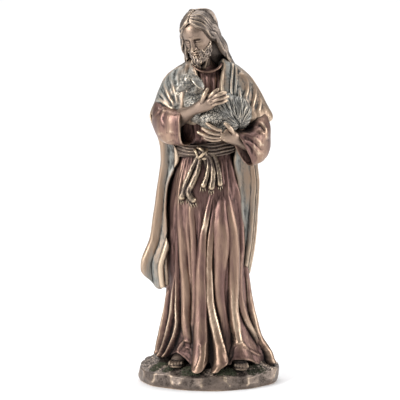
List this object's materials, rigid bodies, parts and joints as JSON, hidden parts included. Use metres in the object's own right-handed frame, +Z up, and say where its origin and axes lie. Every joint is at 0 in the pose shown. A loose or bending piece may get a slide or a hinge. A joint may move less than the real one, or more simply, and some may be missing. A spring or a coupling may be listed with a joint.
{
  "type": "good shepherd figurine",
  "caption": "Standing bearded shepherd in robe and mantle, cradling a lamb before the chest, on a round rocky base.",
  "frame": {"origin": "centre of the round base's underside, on the table", "axes": "+Z up through the figure, -Y the way the figure faces, +X to the figure's left"},
  "size_m": [0.103, 0.0938, 0.2774],
  "materials": {
    "robe_bronze": "reddish bronze, dry-brushed gold on the folds, dark in the valleys",
    "mantle_verdigris": "grey-green patina rubbed through to bronze on the folds",
    "skin_bronze": "satin golden bronze with dark creases",
    "hair_bronze": "bronze strands over dark recesses",
    "fleece_patina": "grainy curls, grey-green in the hollows and bronze on top",
    "sash_bronze": "golden bronze with dark pleats",
    "rock_bronze": "brown bronze rock, lighter on the edges",
    "grass_green": "matte dark green tufts"
  },
  "bodies": {
    "root": {"figurine": "robe_bronze"}
  },
  "joints": []
}
